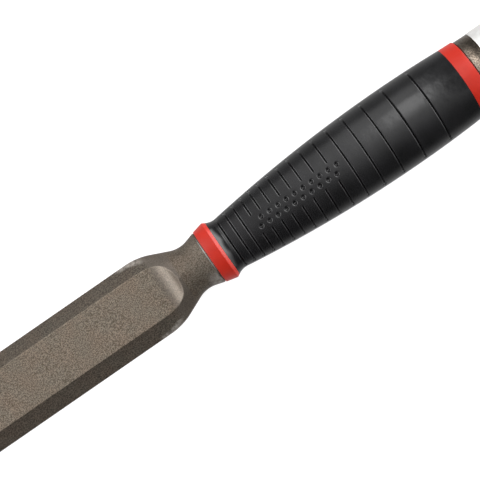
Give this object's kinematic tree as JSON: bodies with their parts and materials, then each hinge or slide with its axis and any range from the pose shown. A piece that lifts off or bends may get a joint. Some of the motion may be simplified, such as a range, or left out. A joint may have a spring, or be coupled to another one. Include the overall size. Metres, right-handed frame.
{
  "type": "bench chisel",
  "caption": "Heavy-duty wood chisel: bevel-edged steel blade, full-length tang, two-material handle with a ribbed rubber grip, and a steel striking end.",
  "frame": {"origin": "middle of the underside of the bounding box: on the tool's centre plane, level with the lowest line of the handle's swell", "axes": "+X along the tool's axis towards the striking face, with the cutting edge at -X; +Z out of the bevelled side of the blade; the flat back of the blade faces -Z; +Y across the blade"},
  "size_m": [0.291, 0.036, 0.036],
  "materials": {
    "coated_steel": "brown-grey metallic coating with a fine grain, satin",
    "red_plastic": "moulded hard plastic, semi-gloss",
    "black_rubber": "moulded soft grip, satin",
    "bare_steel": "turned and ground bright"
  },
  "bodies": {
    "root": {"blade": "coated_steel", "handle_core": "red_plastic", "grip_sleeve": "black_rubber", "butt_ferrule": "coated_steel", "striking_head": "bare_steel"}
  },
  "joints": []
}
